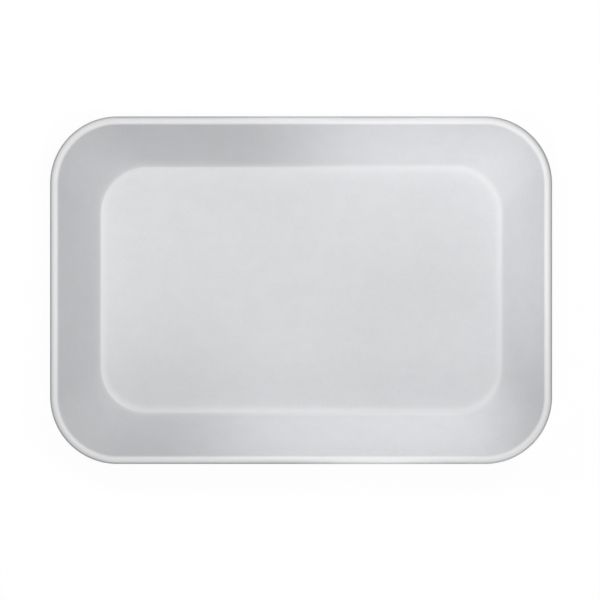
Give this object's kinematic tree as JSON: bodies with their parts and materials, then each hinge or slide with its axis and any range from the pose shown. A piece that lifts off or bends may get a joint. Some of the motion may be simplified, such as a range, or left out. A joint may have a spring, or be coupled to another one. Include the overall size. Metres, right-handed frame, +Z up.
{
  "type": "foam meat tray",
  "caption": "Shallow rectangular foam tray with a flat floor, sloping walls, rounded corners and a rolled rim, for holding packed meat.",
  "frame": {"origin": "middle of the underside, on the surface that the tray stands on", "axes": "+X along the tray's length, +Y across it, +Z up, out of the open side"},
  "size_m": [0.21, 0.1454, 0.025],
  "materials": {
    "foam": "white polystyrene foam with a smooth satin skin"
  },
  "bodies": {
    "root": {"tray": "foam"}
  },
  "joints": []
}
